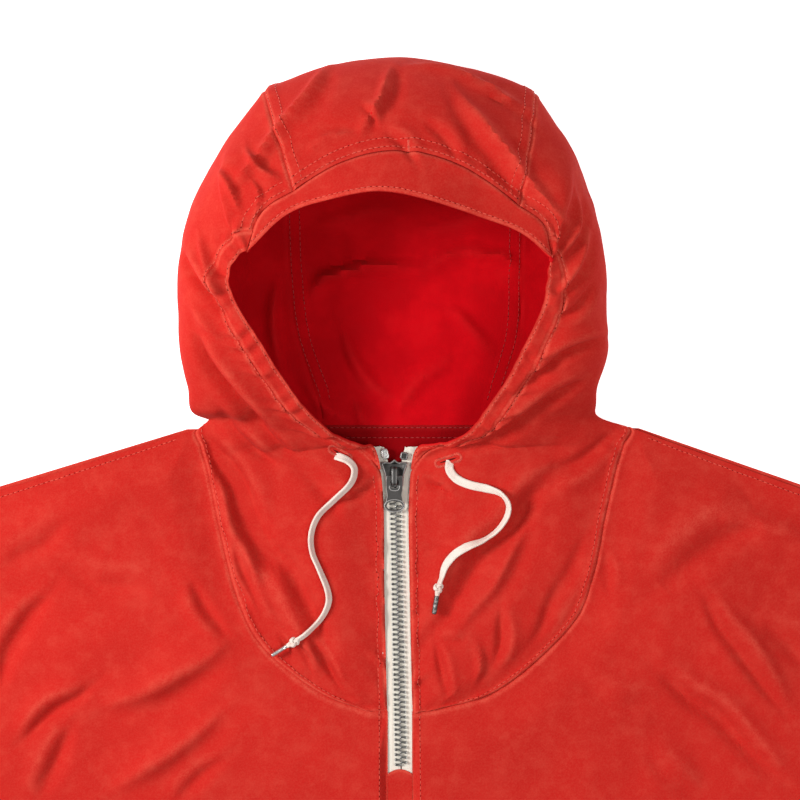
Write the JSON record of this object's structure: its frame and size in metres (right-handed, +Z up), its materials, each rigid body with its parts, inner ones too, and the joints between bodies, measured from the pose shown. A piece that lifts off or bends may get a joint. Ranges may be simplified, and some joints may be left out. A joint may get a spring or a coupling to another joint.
{
  "type": "anorak pullover",
  "caption": "Cotton pullover anorak laid flat on its back, with an open drawcord hood, a small visor, a scoop-seamed yoke and a short metal neck zip.",
  "frame": {"origin": "middle of the footprint, on the surface the garment lies on, found without the drawcords", "axes": "+Z up off the surface, +Y towards the crown of the hood, +X to the viewer's right when the hem is towards the viewer"},
  "size_m": [1.494, 0.938, 0.1055],
  "materials": {
    "shell_cotton": "garment-dyed vermilion cotton, matt, rubbed paler on seams and crease tops",
    "zip_tape": "woven cream cotton tape",
    "cord_cotton": "flat braided off-white cotton with a faint pink cast",
    "zip_metal": "aged dark metal with bright rubbed tops",
    "slider_metal": "dark antique nickel, worn light on its edges",
    "stop_metal": "light grey nickel",
    "tip_metal": "bright crimped nickel"
  },
  "bodies": {
    "garment": {"body_front": "shell_cotton", "body_back": "shell_cotton", "sleeve_left": "shell_cotton", "sleeve_right": "shell_cotton", "hood_side_left": "shell_cotton", "hood_side_right": "shell_cotton", "hood_centre": "shell_cotton", "visor": "shell_cotton", "cord_channel_left": "shell_cotton", "cord_channel_right": "shell_cotton", "zip_underlay": "shell_cotton", "zip_tape_left": "zip_tape", "zip_tape_right": "zip_tape", "zip_chain": "zip_metal", "zip_stop_left": "stop_metal", "zip_stop_right": "zip_metal", "zip_slider": "slider_metal", "drawcord_left": "cord_cotton", "drawcord_right": "cord_cotton", "cord_knot_left": "cord_cotton", "cord_knot_right": "cord_cotton", "aglet_left": "tip_metal", "aglet_right": "slider_metal"},
    "pull": {"zip_pull": "slider_metal"}
  },
  "joints": [
    {"name": "pull_swing", "type": "hinge", "parent": "garment", "child": "pull", "pos_m": [-0.0036, 0.20148, 0.0093], "axis": [-1, 0, 0], "range_deg": [0, 150]}
  ]
}
